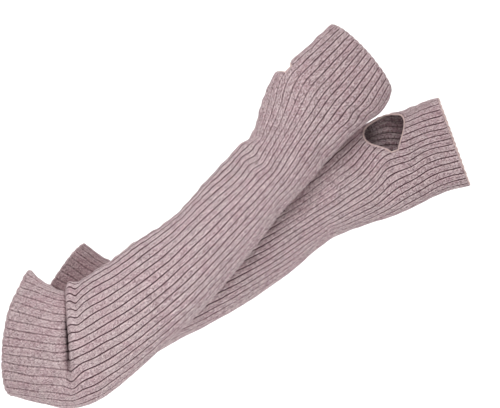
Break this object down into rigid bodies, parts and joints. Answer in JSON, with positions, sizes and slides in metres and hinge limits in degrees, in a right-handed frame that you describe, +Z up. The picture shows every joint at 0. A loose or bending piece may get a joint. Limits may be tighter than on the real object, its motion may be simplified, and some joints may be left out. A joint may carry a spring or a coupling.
{
  "type": "pair of knitted arm warmers",
  "caption": "Long rib-knit arm warmers, hollow and crossed as worn, open at the arm and finger ends, each with a thumb opening and pale overlocked edges.",
  "frame": {"origin": "middle of the front warmer's hollow, halfway down the forearm, where the arm that wears it holds it up", "axes": "+X to the right of the picture, +Y away from the viewer, +Z up"},
  "size_m": [0.447, 0.1808, 0.3666],
  "materials": {
    "knit": "heather rib knit, soft and matte",
    "edging": "pale overlock yarn"
  },
  "bodies": {
    "root": {"front_tube": "knit", "front_finger_edge": "edging", "front_thumb_edge": "edging", "back_tube": "knit", "back_finger_edge": "edging", "back_thumb_edge": "edging"}
  },
  "joints": []
}
